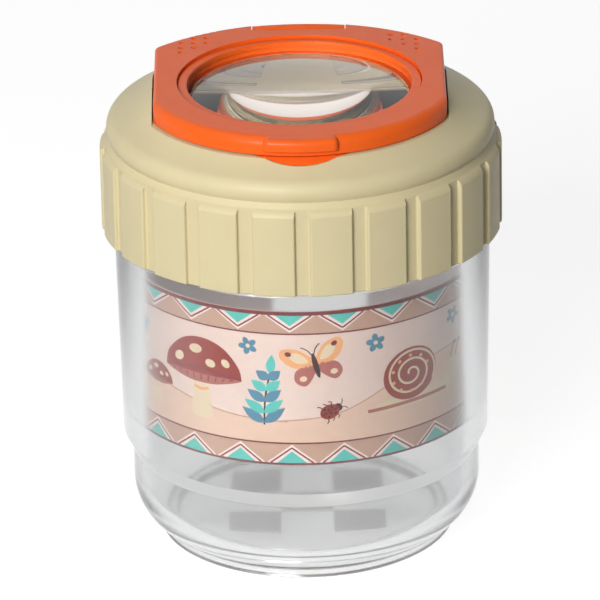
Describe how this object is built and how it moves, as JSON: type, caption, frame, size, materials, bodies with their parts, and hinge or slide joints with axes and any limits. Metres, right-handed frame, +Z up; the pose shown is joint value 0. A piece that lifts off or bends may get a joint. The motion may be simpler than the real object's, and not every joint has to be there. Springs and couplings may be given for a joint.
{
  "type": "bug catcher jar",
  "caption": "Clear round jar for watching insects, with a printed sleeve, a ribbed domed screw cap and a hinged magnifier flap over a round hatch.",
  "frame": {"origin": "middle of the foot ring, on the surface that the jar stands on", "axes": "+Z up along the jar's axis, -Y towards the front where the flap's thumb tab is, +X to the right seen from the front"},
  "size_m": [0.0966, 0.0964, 0.1154],
  "materials": {
    "clear_plastic": "clear moulded plastic, polished",
    "lens_clear": "clear moulded lens, polished",
    "cap_plastic": "fine satin moulding texture",
    "flap_plastic": "smooth satin",
    "print_film": "printed film, satin",
    "frost_ink": "frosted print",
    "seal_soft": "soft pale silicone",
    "pin_steel": "drawn steel wire"
  },
  "bodies": {
    "jar": {"jar_body": "clear_plastic", "printed_band": "print_film", "floor_grid": "frost_ink"},
    "seal": {"seal_ring": "seal_soft"},
    "cap": {"cap_shell": "cap_plastic", "hinge_frame": "flap_plastic", "hinge_pin": "pin_steel"},
    "flap": {"flap_frame": "flap_plastic", "flap_lens": "lens_clear", "lens_bezel": "flap_plastic"}
  },
  "joints": [
    {"name": "cap_lift", "type": "slide", "parent": "jar", "child": "seal", "axis": [0, 0, 1], "range_m": [0, 0.006]},
    {"name": "cap_turn", "type": "hinge", "parent": "seal", "child": "cap", "pos_m": [0, 0, 0.0992], "axis": [0, 0, 1], "range_deg": [0, 270]},
    {"name": "flap_hinge", "type": "hinge", "parent": "cap", "child": "flap", "pos_m": [0, 0.0359, 0.1131], "axis": [-1, 0, 0], "range_deg": [0, 110]}
  ],
  "couplings": [
    {"joint": "cap_lift", "follows": "cap_turn", "m_per_rad": 0.0012732}
  ]
}
